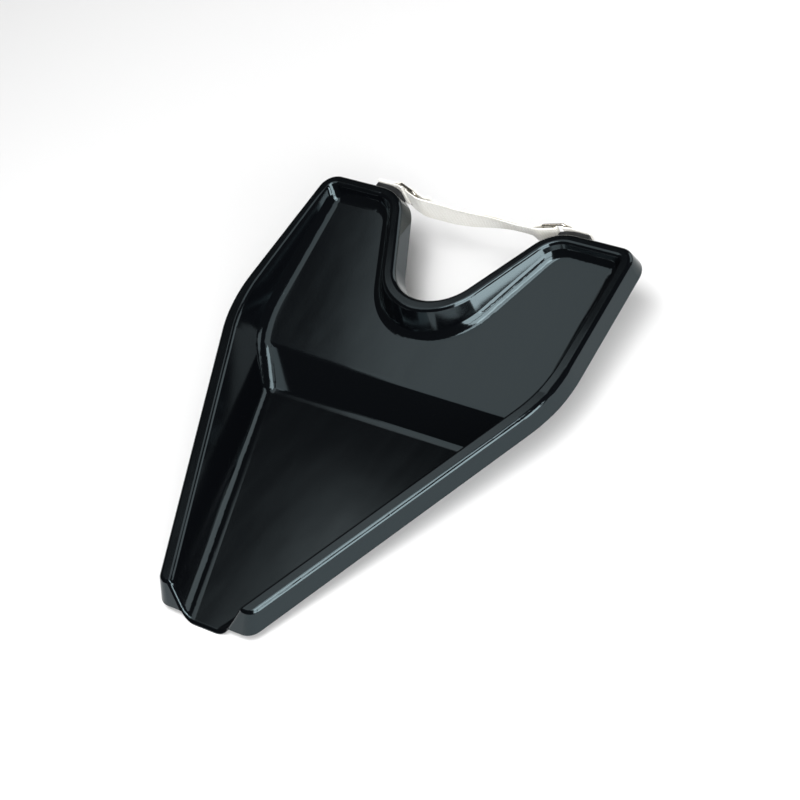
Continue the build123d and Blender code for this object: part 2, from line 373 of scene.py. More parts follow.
@dataclass(frozen=True)
class GlossSheetPlastic:
    """Black high-gloss ABS sheet, vacuum formed over a mould.

    The extruded face stays mirror bright on the rim and walls. Where the hot sheet touched the
    mould on the floors it is drawn a little duller, in faint streaks.

    Attributes:
        flat_from: a face starts to count as a floor when its normal's z passes this.
        flat_to: it counts as a floor in full from here.
        streak_turn: turn of the streaks in plan, in radians.
        streak_stretch: the streaks' scale along their length.
    """

    name: str = "vacuum_formed_gloss_abs"
    colour: str = "#050608"
    cool_sheen: str = "#d6f0f8"
    bright_roughness: float = 0.09
    dull_roughness: float = 0.2
    streak_mm: float = 20.0
    ripple_mm: float = 70.0
    scuff_mm: float = 3.0
    flat_from: float = 0.93
    flat_to: float = 0.985
    streak_turn: float = 0.5
    streak_stretch: float = 0.16
    refraction: float = 1.54

    def make(self) -> Material:
        """Builds the material.

        Returns:
            The gloss plastic, on Object coordinates.
        """
        material, tree, shader = start_material(self.name)
        place = add_node(tree, "ShaderNodeTexCoord")
        facing = add_node(tree, "ShaderNodeNewGeometry")
        upward = add_node(tree, "ShaderNodeSeparateXYZ", {0: facing.outputs["Normal"]})
        # floors face up: 0 on the walls and 1 on the flats, where the sheet met the mould
        flat = add_node(
            tree, "ShaderNodeMapRange",
            {"Value": upward.outputs["Z"],
             "From Min": self.flat_from, "From Max": self.flat_to},
            interpolation_type="SMOOTHSTEP",
        )
        # long streaks from wiping, drawn out along the tray
        drawn = add_node(
            tree, "ShaderNodeMapping",
            {"Vector": place.outputs["Object"], "Rotation": (0, 0, self.streak_turn),
             "Scale": (1, self.streak_stretch, 1)},
        )
        streak = add_node(
            tree, "ShaderNodeTexNoise",
            {"Vector": drawn.outputs[0], "Scale": 1 / (self.streak_mm * MM),
             "Detail": 5.0, "Roughness": 0.62, "Distortion": 0.4},
        )
        uneven = add_node(
            tree, "ShaderNodeMapRange",
            {"Value": streak.outputs[0], "From Min": 0.34, "From Max": 0.68,
             "To Min": 0.55, "To Max": 1.0},
        )
        dull = maths(tree, "MULTIPLY", flat, uneven)
        rough = add_node(
            tree, "ShaderNodeMapRange",
            {"Value": dull.outputs[0],
             "To Min": self.bright_roughness, "To Max": self.dull_roughness},
        )
        # fine scuffs, about as coarse as a cloth leaves them
        scuff = object_noise(tree, place, self.scuff_mm, 3.0)
        # a formed sheet is never quite flat, so its reflections swim a little
        ripple = object_noise(tree, place, self.ripple_mm, 1.5)
        wavy = add_node(
            tree, "ShaderNodeBump",
            {"Strength": 0.35, "Distance": 0.0009, "Height": ripple.outputs[0]},
        )
        marks = add_node(
            tree, "ShaderNodeBump",
            {"Strength": 0.05, "Distance": 0.00012, "Height": scuff.outputs[0],
             "Normal": wavy.outputs[0]},
        )
        tree.links.new(rough.outputs[0], shader.inputs["Roughness"])
        tree.links.new(marks.outputs[0], shader.inputs["Normal"])
        shader.inputs["Base Color"].default_value = linear(self.colour)
        shader.inputs["Specular Tint"].default_value = linear(self.cool_sheen)
        shader.inputs["IOR"].default_value = self.refraction
        return material


@dataclass(frozen=True)
class MattePadPlastic:
    """Black polypropylene, injection moulded with a fine spark texture that scatters the light."""

    name: str = "moulded_matte_polypropylene"
    colour: str = "#0c0d0f"
    worn_colour: str = "#191b1e"
    grain_mm: float = 0.7
    mottle_mm: float = 9.0
    roughness: float = 0.55
    refraction: float = 1.49

    def make(self) -> Material:
        """Builds the material.

        Returns:
            The matte plastic, on Object coordinates.
        """
        material, tree, shader = start_material(self.name)
        place = add_node(tree, "ShaderNodeTexCoord")
        mottle = object_noise(tree, place, self.mottle_mm, 4.0)
        tint = add_node(tree, "ShaderNodeValToRGB", {0: mottle.outputs[0]})
        set_ramp(tint, [(0.35, self.colour), (0.75, self.worn_colour)])
        grain = object_noise(tree, place, self.grain_mm, 2.0)
        texture = add_node(
            tree, "ShaderNodeBump",
            {"Strength": 0.4, "Distance": 0.0001, "Height": grain.outputs[0]},
        )
        tree.links.new(tint.outputs[0], shader.inputs["Base Color"])
        tree.links.new(texture.outputs[0], shader.inputs["Normal"])
        shader.inputs["Roughness"].default_value = self.roughness
        shader.inputs["IOR"].default_value = self.refraction
        return material


@dataclass(frozen=True)
class WovenWebbing:
    """Off-white polypropylene webbing, plain woven: ribs across it, with a firm selvedge.

    The picks are drawn 1.6 mm apart, coarser than the real 1 mm, so that they show.
    """

    name: str = "woven_polypropylene_webbing"
    thread_colour: str = "#f7f6f1"
    # painted shade: the darker colour laid in the weave's valleys
    valley_colour: str = "#b9b6ab"
    soiled_colour: str = "#dcd5c2"
    pick_mm: float = 1.6
    end_mm: float = 1.25
    soil_mm: float = 38.0
    roughness: float = 0.78
    fuzz: float = 0.25
    fuzz_roughness: float = 0.45

    def make(self) -> Material:
        """Builds the material.

        Returns:
            The webbing, on the piece's UV map, which is laid out in metres.
        """
        material, tree, shader = start_material(self.name)
        layout = add_node(tree, "ShaderNodeUVMap", uv_map="UVMap")
        split = add_node(tree, "ShaderNodeSeparateXYZ", {0: layout.outputs[0]})
        along = add_node(
            tree, "ShaderNodeMath",
            {0: split.outputs["X"], 1: math.tau / (self.pick_mm * MM)}, operation="MULTIPLY",
        )
        across = add_node(
            tree, "ShaderNodeMath",
            {0: split.outputs["Y"], 1: math.tau / (self.end_mm * MM)}, operation="MULTIPLY",
        )
        # neighbouring ends are half a pick out of step, as in a plain weave
        way = maths(tree, "SIGN", maths(tree, "SINE", maths(tree, "MULTIPLY", across, 0.5)))
        phase = maths(tree, "ADD", along, maths(tree, "MULTIPLY", way, math.pi / 2))
        crown = maths(tree, "COSINE", across)
        weave = maths(tree, "MULTIPLY_ADD", maths(tree, "SINE", phase), 0.5, crown)
        height = add_node(
            tree, "ShaderNodeMapRange",
            {"Value": weave.outputs[0], "From Min": -1.5, "From Max": 1.5},
        )
        # the threads are one colour; the valleys between them are painted darker, as painted shade
        # in the weave
        thread = add_node(tree, "ShaderNodeValToRGB", {0: height.outputs[0]})
        set_ramp(thread, [(0.08, self.valley_colour), (0.5, self.thread_colour)])
        place = add_node(tree, "ShaderNodeTexCoord")
        soil = object_noise(tree, place, self.soil_mm, 4.0)
        amount = add_node(
            tree, "ShaderNodeMapRange",
            {"Value": soil.outputs[0], "From Min": 0.45, "From Max": 0.8, "To Max": 0.55},
        )
        mixed = add_node(
            tree, "ShaderNodeMix",
            {"Factor": amount.outputs[0], "A": thread.outputs[0], "B": linear(self.soiled_colour)},
            data_type="RGBA", blend_type="MULTIPLY",
        )
        relief = add_node(
            tree, "ShaderNodeBump",
            {"Strength": 0.8, "Distance": 0.00022, "Height": height.outputs[0]},
        )
        tree.links.new(mixed.outputs["Result"], shader.inputs["Base Color"])
        tree.links.new(relief.outputs[0], shader.inputs["Normal"])
        shader.inputs["Roughness"].default_value = self.roughness
        shader.inputs["Sheen Weight"].default_value = self.fuzz
        shader.inputs["Sheen Roughness"].default_value = self.fuzz_roughness
        return material


@dataclass(frozen=True)
class NickelWire:
    """Drawn steel wire, bent and nickel plated: bright and warm, with faint dull patches."""

    name: str = "nickel_plated_wire"
    colour: str = "#d3cdc2"
    dull_colour: str = "#8e877a"
    patch_mm: float = 6.0

    def make(self) -> Material:
        """Builds the material.

        Returns:
            The plated wire, on Object coordinates.
        """
        material, tree, shader = start_material(self.name)
        place = add_node(tree, "ShaderNodeTexCoord")
        patch = object_noise(tree, place, self.patch_mm, 3.0)
        tint = add_node(tree, "ShaderNodeValToRGB", {0: patch.outputs[0]})
        set_ramp(tint, [(0.42, self.colour), (0.78, self.dull_colour)])
        rough = add_node(
            tree, "ShaderNodeMapRange",
            {"Value": patch.outputs[0], "To Min": 0.12, "To Max": 0.34},
        )
        tree.links.new(tint.outputs[0], shader.inputs["Base Color"])
        tree.links.new(rough.outputs[0], shader.inputs["Roughness"])
        shader.inputs["Metallic"].default_value = 1.0
        return material


@dataclass(frozen=True)
class RivetAluminium:
    """Bright drawn aluminium, pressed into a rivet: soft grey shine with fine turning marks."""

    name: str = "pressed_aluminium"
    colour: str = "#c9ccce"
    scratch_mm: float = 0.8

    def make(self) -> Material:
        """Builds the material.

        Returns:
            The aluminium, on Object coordinates.
        """
        material, tree, shader = start_material(self.name)
        place = add_node(tree, "ShaderNodeTexCoord")
        scratch = object_noise(tree, place, self.scratch_mm, 3.0)
        rough = add_node(
            tree, "ShaderNodeMapRange",
            {"Value": scratch.outputs[0], "To Min": 0.2, "To Max": 0.42},
        )
        dents = add_node(
            tree, "ShaderNodeBump",
            {"Strength": 0.25, "Distance": 0.00006, "Height": scratch.outputs[0]},
        )
        tree.links.new(rough.outputs[0], shader.inputs["Roughness"])
        tree.links.new(dents.outputs[0], shader.inputs["Normal"])
        shader.inputs["Base Color"].default_value = linear(self.colour)
        shader.inputs["Metallic"].default_value = 1.0
        return material


@dataclass
class Finishes:
    """Every material of the tray, made once."""

    sheet: Material = field(default_factory=lambda: GlossSheetPlastic().make())
    pad: Material = field(default_factory=lambda: MattePadPlastic().make())
    webbing: Material = field(default_factory=lambda: WovenWebbing().make())
    wire: Material = field(default_factory=lambda: NickelWire().make())
    rivet: Material = field(default_factory=lambda: RivetAluminium().make())


# --- the rim's plane -------------------------------------------------------------------------


@dataclass(frozen=True)
class RimPlane:
    """The plane of the tray's rim, on which its sizes are laid out.

    Attributes:
        tilt_deg: the rim climbs toward the neck by this angle.
        to_middle: from the rim's pouring end to the frame's origin, in millimetres.
        height: the rim's line over the ground at the pouring end, before the tilt.
    """

    tilt_deg: float = 5.5
    to_middle: float = 226.107
    height: float = 29.0

    def direction(self, x: float, y: float, z: float) -> Vector:
        """Turns a direction on the rim's plane into one in the frame."""
        c, s = math.cos(math.radians(self.tilt_deg)), math.sin(math.radians(self.tilt_deg))
        return Vector((x, y * c - z * s, y * s + z * c))

    def point(self, x: float, y: float, z: float) -> Vector:
        """Turns a place on the rim's plane, in millimetres, into metres in the frame.

        Args:
            x: across the tray.
            y: along the rim from the pouring end.
            z: up from the rim's line.

        Returns:
            The place in the frame.
        """
        c = math.cos(math.radians(self.tilt_deg))
        start = Vector((0, -self.to_middle * c, self.height * c))
        return (start + self.direction(x, y, z)) * MM


# --- the strap -------------------------------------------------------------------------------


@dataclass
class WebbingRun:
    """A length of webbing that stands on edge along a path in plan.

    Attributes:
        rim: the plane that the path lies on.
        width: the webbing's width.
        bottom: height of its lower edge, from the rim's line.
        half: half its thickness at the middle of the weave.
        lean: the webbing's lean in degrees at a place across the tray.
        sway: sideways waver of the webbing at a place across the tray.
        sharp_deg: edges that turn by more than this stay sharp.
    """

    rim: RimPlane
    width: float = 25.0
    bottom: float = -21.0
    half: float = 0.68
    lean: Callable[[float], float] = lambda x: 0.0
    sway: Callable[[float], float] = lambda x: 0.0
    sharp_deg: float = 60.0

    def profile(self) -> list[tuple[float, float]]:
        """The webbing's section: height from 0 to 1, and thickness as a share of the middle."""
        return [
            (0.0, 0.35), (0.008, 0.8), (0.022, 1.05), (0.05, 1.12), (0.078, 1.02), (0.1, 0.84),
            (0.13, 0.95), (0.2, 1.0), (0.3, 1.0), (0.4, 1.0), (0.5, 1.0), (0.6, 1.0), (0.7, 1.0),
            (0.8, 1.0), (0.87, 0.95), (0.9, 0.84), (0.922, 1.02), (0.95, 1.12), (0.978, 1.05),
            (0.992, 0.8), (1.0, 0.35),
        ]

    def station(self, path: Sequence[Plan], i: int, share: float, out: float) -> Vector:
        """One point of the webbing.

        Args:
            path: evenly spaced points in plan.
            i: number of the station.
            share: height on the webbing, from 0 at its lower edge to 1 at its upper edge.
            out: distance from its mid-surface, in millimetres.

        Returns:
            The point in the frame.
        """
        a, b = path[max(i - 1, 0)], path[min(i + 1, len(path) - 1)]
        run = Vector((b[0] - a[0], b[1] - a[1])).normalized()
        x, y = path[i]
        lean = math.radians(self.lean(x))
        down = self.width * (1 - share)
        return self.rim.point(
            x + run.y * out,
            y + down * math.sin(lean) - run.x * out + self.sway(x),
            self.bottom + self.width - down * math.cos(lean),
        )

    def build(self, name: str, path: Sequence[Plan]) -> Object:
        """Sweeps the section along the path.

        Args:
            name: the piece's name.
            path: evenly spaced points in plan.

        Returns:
            A closed mesh with a UV map in metres.
        """
        section = self.profile()
        around = [(share, -self.half * k) for share, k in section]
        around += [(share, self.half * k) for share, k in reversed(section)]
        n, count = len(around), len(path)
        points = [self.station(path, i, s, o) for i in range(count) for s, o in around]
        faces, layout = [], []
        lengths = [0.0]
        for a, b in zip(path, path[1:]):
            lengths.append(lengths[-1] + math.dist(a, b))
        for i in range(count - 1):
            for j in range(n):
                k = (j + 1) % n
                faces.append((i * n + j, (i + 1) * n + j, (i + 1) * n + k, i * n + k))
                low, high = around[j][0] * self.width, around[k][0] * self.width
                u0, u1 = lengths[i], lengths[i + 1]
                layout += [(u0, low), (u1, low), (u1, high), (u0, high)]
        half_n = n // 2
        for i, flip in ((0, False), (count - 1, True)):
            for j in range(half_n - 1):
                quad = [i * n + j, i * n + j + 1, i * n + n - 2 - j, i * n + n - 1 - j]
                faces.append(tuple(reversed(quad)) if flip else tuple(quad))
                layout += [(lengths[i], 0.0)] * 4
        obj = mesh_object(name, points, faces)
        uv = obj.data.uv_layers.new(name="UVMap")
        uv.data.foreach_set("uv", [c * MM for pair in layout for c in pair])
        finish_faces(obj, self.sharp_deg)
        return obj

    def edge_lines(self, path: Sequence[Plan]) -> list[list[Vector]]:
        """The lines of both selvedges, along the path."""
        return [
            [self.station(path, i, share, 0.0) for i in range(len(path))]
            for share in SELVEDGES
        ]


@dataclass
class Selvedge:
    """The weft's small turning loops, which stand along both edges of the webbing."""

    pitch: float = 1.6
    size: float = 0.62

    def tree(self, material: Material) -> Tree:
        """Builds the tree that puts a loop at every pick along an edge line.

        Args:
            material: the webbing's material.

        Returns:
            A geometry tree with the inputs Pitch and Size.
        """
        tree, source = start_tree(
            "selvedge_loops", {"Pitch": "NodeSocketFloat", "Size": "NodeSocketFloat"}
        )
        line = add_node(tree, "GeometryNodeMeshToCurve", {"Mesh": source.outputs["Geometry"]})
        spaced = add_node(
            tree, "GeometryNodeResampleCurve",
            {"Curve": line.outputs[0], "Length": source.outputs["Pitch"]}, mode="LENGTH",
        )
        bead = add_node(
            tree, "GeometryNodeMeshUVSphere", {"Segments": 6, "Rings": 4, "Radius": 1.0},
        )
        smooth = add_node(tree, "GeometryNodeSetShadeSmooth", {0: bead.outputs["Mesh"]})
        tangent = add_node(tree, "GeometryNodeInputTangent")
        turn = add_node(
            tree, "FunctionNodeAlignRotationToVector", {"Vector": tangent.outputs[0]}, axis="X",
        )
        flatten = add_node(
            tree, "ShaderNodeVectorMath",
            {0: (1.25, 1.0, 0.8), "Scale": source.outputs["Size"]}, operation="SCALE",
        )
        beads = add_node(
            tree, "GeometryNodeInstanceOnPoints",
            {"Points": spaced.outputs[0], "Instance": smooth.outputs[0],
             "Rotation": turn.outputs[0], "Scale": flatten.outputs[0]},
        )
        finish_tree(tree, beads.outputs[0], material)
        return tree

    def build(
        self, name: str, lines: Sequence[Sequence[Vector]], material: Material
    ) -> Object:
        """Makes the loops along some edge lines.

        Args:
            name: the piece's name.
            lines: the edge lines, in the frame.
            material: the webbing's material.

        Returns:
            One plain mesh with every loop.
        """
        points, edges = [], []
        for line in lines:
            first = len(points)
            points += line
            edges += [(first + i, first + i + 1) for i in range(len(line) - 1)]
        carrier = mesh_object(name + "_line", points, [], edges)
        sizes = {"Pitch": self.pitch * MM, "Size": self.size * MM}
        return run_tree(name, carrier, self.tree(material), sizes)


@dataclass
class FrayedEnd:
    """Loose thread ends at a cut end of the webbing.

    Attributes:
        threads: how many threads stand on the end.
        longest: length of the longest, in millimetres.
        seed: start of the random draws.
        thickness: a thread's radius at its root, as a share of its length.
        taper: how much thinner a thread is at its tip.
        bend: how far a thread's tip leans over, as a share of its length.
        inset: the roots stand between this share of the height and its counterpart.
        sunk: how far the roots are sunk, as a share of a step of the path.
    """

    threads: int = 64
    longest: float = 2.6
    seed: int = 5
    thickness: float = 0.055
    taper: float = 0.45
    bend: float = 0.22
    inset: float = 0.02
    sunk: float = 0.3

    def fibre(self) -> Object:
        """One short bent thread, a millimetre long, standing on the origin."""
        rings, sides = 5, 4
        points = []
        for i in range(rings):
            t = i / (rings - 1)
            radius = self.thickness * (1 - self.taper * t)
            for j in range(sides):
                a = math.tau * j / sides
                points.append(Vector((
                    radius * math.cos(a) + self.bend * t * t, radius * math.sin(a), t,
                )))
        faces = tube_faces(rings, sides)
        faces.append(tuple(range(sides))[::-1])
        faces.append(tuple((rings - 1) * sides + j for j in range(sides)))
        return mesh_object("loose_thread", points, faces)

    def tree(self, fibre: Object, material: Material) -> Tree:
        """Builds the tree that stands threads on the cut end.

        Args:
            fibre: the thread to repeat.
            material: the webbing's material.

        Returns:
            A geometry tree with the inputs Length and Seed.
        """
        tree, source = start_tree(
            "frayed_threads", {"Length": "NodeSocketFloat", "Seed": "NodeSocketInt"}
        )
        roots = add_node(tree, "GeometryNodeMeshToPoints", {"Mesh": source.outputs["Geometry"]})
        thread = add_node(tree, "GeometryNodeObjectInfo", {"Object": fibre})
        away = add_node(tree, "GeometryNodeInputNamedAttribute", {"Name": "away"},
                        data_type="FLOAT_VECTOR")
        stray = add_node(
            tree, "FunctionNodeRandomValue",
            {"Min": (-0.5, -0.5, -0.5), "Max": (0.5, 0.5, 0.5), "Seed": source.outputs["Seed"]},
            data_type="FLOAT_VECTOR",
        )
        aim = add_node(
            tree, "ShaderNodeVectorMath",
            {0: away.outputs["Attribute"], 1: stray.outputs[0]}, operation="ADD",
        )
        turn = add_node(
            tree, "FunctionNodeAlignRotationToVector", {"Vector": aim.outputs[0]}, axis="Z",
        )
        size = add_node(
            tree, "FunctionNodeRandomValue",
            {2: 0.35, 3: 1.0, "Seed": source.outputs["Seed"]}, data_type="FLOAT",
        )
        length = add_node(
            tree, "ShaderNodeMath",
            {0: size.outputs[1], 1: source.outputs["Length"]}, operation="MULTIPLY",
        )
        threads = add_node(
            tree, "GeometryNodeInstanceOnPoints",
            {"Points": roots.outputs[0], "Instance": thread.outputs["Geometry"],
             "Rotation": turn.outputs[0], "Scale": length.outputs[0]},
        )
        finish_tree(tree, threads.outputs[0], material)
        return tree

    def build(
        self, name: str, run: WebbingRun, path: Sequence[Plan], material: Material
    ) -> Object:
        """Frays the last end of a length of webbing.

        Args:
            name: the piece's name.
            run: the webbing.
            path: its path in plan.
            material: the webbing's material.

        Returns:
            One plain mesh with every loose thread.
        """
        dice = random.Random(self.seed)
        i, inner = len(path) - 1, len(path) - 2
        roots = []
        for _ in range(self.threads):
            share = dice.uniform(self.inset, 1 - self.inset)
            out = dice.uniform(-0.7, 0.7) * run.half
            end, back = run.station(path, i, share, out), run.station(path, inner, share, out)
            roots.append(end.lerp(back, self.sunk))
        away = (run.station(path, i, 0.5, 0) - run.station(path, inner, 0.5, 0)).normalized()
        carrier = mesh_object(name + "_roots", roots, [])
        aim = carrier.data.attributes.new("away", "FLOAT_VECTOR", "POINT")
        aim.data.foreach_set("vector", [c for _ in roots for c in away])
        fibre = self.fibre()
        values = {"Length": self.longest * MM, "Seed": self.seed}
        piece = run_tree(name, carrier, self.tree(fibre, material), values)
        bpy.data.objects.remove(fibre)
        return piece


@dataclass
class Strap:
    """The adjustable strap: a band folded round a bar of each slide, and two riveted tabs.

    Attributes:
        rim: the plane that the strap's sizes are laid out on.
        finishes: the materials.
        taut_y: where the taut stretch crosses the neck opening.
        straight: half the stretch between the bends at the slides.
        slide_x: middle of the right slide, across the tray.
        slide_y: middle of the right slide, along the rim.
        slide_lean: the slide's turn from straight across, in plan.
        bar_at: from the slide's middle bar to its outer bars.
        gap: from a bar's axis to the middle of the webbing round it.
        layer: distance between two layers that lie on each other.
        pad_face: upright face of the pad that the tabs lie on.
        tab_end: free end of the tab.
        tab_bend: where the tab leaves the pad.
        right_tail: where the long tail ends.
        left_tail: where the short tail ends.
        lean_deg: how far the band leans out at its lower edge near the right slide.
        lean_rise: where across the tray the lean comes in.
        lean_fall: where it goes out again.
        waver: the band's sideways waver, each way.
        waver_run: distance across the tray over which the waver's phase runs by a radian.
        slack: how far the band hangs back from its line.
        calm: where the waver dies down toward a slide.
        bend: where across the tray the band would start and end to follow its slide; these places
            are worked out but not used.
        left_lift: how far the short tail stands off at its slide and at its end.
        tab_layers: the tab's two layers, out from the pad's face.
    """

    rim: RimPlane
    finishes: Finishes
    taut_y: float = 450.0
    straight: float = 66.0
    slide_x: float = 85.4
    slide_y: float = 457.6
    slide_lean: float = 18.0
    bar_at: float = 11.3
    gap: float = 2.4
    layer: float = 1.9
    pad_face: float = 459.15
    tab_end: float = 123.0
    tab_bend: float = 106.0
    right_tail: float = 6.0
    left_tail: float = 58.0
    lean_deg: float = 22.0
    lean_rise: Plan = (-45.0, 42.0)
    lean_fall: Plan = (50.0, 74.0)
    waver: float = 0.35
    waver_run: float = 11.0
    slack: float = 0.5
    calm: Plan = (50.0, 66.0)
    bend: Plan = (24.0, 70.0)
    left_lift: Plan = (1.4, 3.2)
    tab_layers: Plan = (0.8, 2.3)

    def slide_point(self, along: float, out: float) -> Plan:
        """A place on the right slide: along it toward the neck opening, and out from it."""
        lean = math.radians(self.slide_lean)
        return (
            self.slide_x - along * math.cos(lean) - out * math.sin(lean),
            self.slide_y - along * math.sin(lean) + out * math.cos(lean),
        )

    def lean(self, x: float) -> float:
        """The band leans out at its lower edge, more toward the right slide."""
        return self.lean_deg * ease(x, *self.lean_rise) * (1.0 - ease(x, *self.lean_fall))

    def sway(self, x: float) -> float:
        """The band wavers a little between the slides."""
        free = 1.0 - ease(abs(x), *self.calm)
        return free * (self.waver * math.sin(x / self.waver_run) - self.slack)

    def half_path(self, side: Side) -> list[Plan]:
        """The band's path from the middle of the opening, round a slide's bar, to the tail's end.

        Args:
            side: which half of the band.

        Returns:
            Evenly spaced points in plan.
        """
        over = self.taut_y + self.layer
        corners = [
            (0.0, self.taut_y),
            (self.straight, self.taut_y),
            self.slide_point(self.bar_at + 3, -self.gap),
            self.slide_point(-self.gap, -self.gap),
            self.slide_point(-self.gap, self.gap),
            self.slide_point(self.bar_at + 2, self.gap),
        ]
        if side is Side.RIGHT:
            corners += [(self.straight - 2, over), (self.right_tail, over)]
        else:
            near, far = self.left_lift
            corners += [(self.straight - 2, over + near), (self.left_tail, over + far)]
        path = round_corners(corners, self.gap, PATH_STEP)
        return [(x * side.value, y) for x, y in path]

    def band(self, side: Side) -> list[Object]:
        """Builds one half of the band with its selvedge and its frayed end.

        Args:
            side: which half.

        Returns:
            The pieces of that half.
        """
        path = self.half_path(side)
        run = WebbingRun(self.rim, lean=self.lean, sway=self.sway)
        webbing = run.build(f"strap_band_{side.word}", path)
        webbing.data.materials.append(self.finishes.webbing)
        lines = run.edge_lines(path)
        loops = Selvedge().build(
            f"strap_selvedge_{side.word}", lines, self.finishes.webbing
        )
        frayed = FrayedEnd(seed=5 + side.value).build(
            f"strap_fray_{side.word}", run, path, self.finishes.webbing
        )
        pieces = [webbing, loops, frayed]
        start, end = (self.rim.point(x * side.value, self.taut_y, 0) for x in self.bend)
        for piece in pieces:
            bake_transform(piece)
        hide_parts("strap_band")
        return pieces

    def tab(self, side: Side) -> list[Object]:
        """Builds one tab: webbing folded round the slide's outer bar and riveted to the pad.

        Args:
            side: which tab.

        Returns:
            The tab and its selvedge.
        """
        inner, outer = (self.pad_face + out for out in self.tab_layers)
        corners = [
            (self.tab_end, inner),
            (self.tab_bend, inner),
            self.slide_point(-self.bar_at - 1.5, -self.gap + 0.3),
            self.slide_point(-self.bar_at + self.gap, -self.gap),
            self.slide_point(-self.bar_at + self.gap, self.gap),
            self.slide_point(-self.bar_at - 1.5, self.gap - 0.3),
            (self.tab_bend, outer),
            (self.tab_end, outer),
        ]
        path = [(x * side.value, y) for x, y in round_corners(corners, self.gap, PATH_STEP)]
        run = WebbingRun(self.rim)
        webbing = run.build(f"tab_webbing_{side.word}", path)
        webbing.data.materials.append(self.finishes.webbing)
        lines = run.edge_lines(path)
        loops = Selvedge().build(f"tab_selvedge_{side.word}", lines, self.finishes.webbing)
        for piece in (webbing, loops):
            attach(piece, RIM)
        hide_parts(f"strap_tab_{side.word}")
        return [webbing, loops]

    def build(self) -> list[Object]:
        """Builds both tabs and both halves of the band."""
        pieces = []
        for side in Side:
            pieces += self.tab(side)
            pieces += self.band(side)
        return pieces


# --- rivets ----------------------------------------------------------------------------------


@dataclass
class Rivets:
    """Four blind rivets that hold the tabs and pads on the tray's skirt.

    Attributes:
        rim: the plane that the rivets' sizes are laid out on.
        finishes: the materials.
        spots: distances of the rivets from the middle of the tray.
        height: height of the rivets' axes, from the rim's line.
        seat: where the heads sit on the tabs.
        inside: inner end of the rivets.
        sides: how many faces run round a rivet.
        sharp_deg: edges that turn by more than this stay sharp.
    """

    rim: RimPlane
    finishes: Finishes
    spots: tuple[float, float] = (110.5, 118.5)
    height: float = -5.0
    seat: float = 462.25
    inside: float = 450.0
    sides: int = 28
    sharp_deg: float = 50.0

    def profile(self) -> list[tuple[float, float]]:
        """The rivet's turned outline: radius and distance out from the tab's face."""
        deep = self.inside - self.seat
        return [
            (0.0, 0.5), (0.75, 0.5), (0.85, 0.62), (0.95, 0.9), (1.15, 1.12), (2.0, 1.06),
            (2.9, 0.86), (3.55, 0.55), (3.92, 0.2), (3.98, 0.05), (3.9, 0.0), (1.98, 0.0),
            (1.98, deep + 3.7), (2.5, deep + 3.55), (3.0, deep + 3.1), (3.2, deep + 2.3),
            (3.1, deep + 1.4), (2.5, deep + 0.6), (1.7, deep + 0.15), (0.0, deep + 0.05),
        ]

    def turned(self) -> Object:
        """One rivet turned about its axis, with its head toward +Y."""
        outline, sides = self.profile(), self.sides
        points: list[Vector] = []
        for radius, out in outline[1:-1]:
            for j in range(sides):
                a = math.tau * j / sides
                points.append(Vector((radius * math.cos(a), out, radius * math.sin(a))) * MM)
        first, last = len(points), len(points) + 1
        points += [Vector((0, outline[0][1], 0)) * MM, Vector((0, outline[-1][1], 0)) * MM]
        rows = len(outline) - 2
        faces = tube_faces(rows, sides)
        for j in range(sides):
            k = (j + 1) % sides
            faces.append((first, k, j))
            faces.append((last, (rows - 1) * sides + j, (rows - 1) * sides + k))
        rivet = mesh_object("turned_rivet", points, faces)
        finish_faces(rivet, self.sharp_deg)
        return rivet

    def tree(self, rivet: Object) -> Tree:
        """Builds the tree that sets a rivet at every hole.

        Args:
            rivet: the turned rivet.

        Returns:
            A geometry tree with the input Tilt.
        """
        tree, source = start_tree("rivet_row", {"Tilt": "NodeSocketFloat"})
        holes = add_node(tree, "GeometryNodeMeshToPoints", {"Mesh": source.outputs["Geometry"]})
        body = add_node(tree, "GeometryNodeObjectInfo", {"Object": rivet})
        tilt = add_node(tree, "ShaderNodeCombineXYZ", {"X": source.outputs["Tilt"]})
        placed = add_node(
            tree, "GeometryNodeInstanceOnPoints",
            {"Points": holes.outputs[0], "Instance": body.outputs["Geometry"],
             "Rotation": tilt.outputs[0]},
        )
        finish_tree(tree, placed.outputs[0], self.finishes.rivet)
        return tree

    def build(self) -> Object:
        """Builds the four rivets as one piece.

        Returns:
            The finished piece, riding on the tray.
        """
        holes = [
            self.rim.point(side.value * spot, self.seat, self.height)
            for side in Side for spot in self.spots
        ]
        carrier = mesh_object("rivet_holes", holes, [])
        rivet = self.turned()
        tilt = {"Tilt": math.radians(self.rim.tilt_deg)}
        piece = run_tree("blind_rivets", carrier, self.tree(rivet), tilt)
        bpy.data.objects.remove(rivet)
        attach(piece, RIM)
        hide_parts("rivets")
        return piece


# --- the formed tray and its hardware ----------------------------------------------------------


@dataclass
class Tray:
    """The formed tray, its pads and its slides, which keep their CAD shapes."""

    nodes: dict[str, Object]
    finishes: Finishes

    def dress(self) -> list[str]:
        """Gives each carried-over node its real material.

        Returns:
            The names of the dressed nodes.
        """
        looks = {
            "tray_shell": self.finishes.sheet,
            "anchor_pad_left": self.finishes.pad,
            "anchor_pad_right": self.finishes.pad,
            "strap_slide_left": self.finishes.wire,
            "strap_slide_right": self.finishes.wire,
        }
        for name, material in looks.items():
            slots = self.nodes[name].data.materials
            slots.clear()
            slots.append(material)
        return sorted(looks)


# --- the studio --------------------------------------------------------------------------------


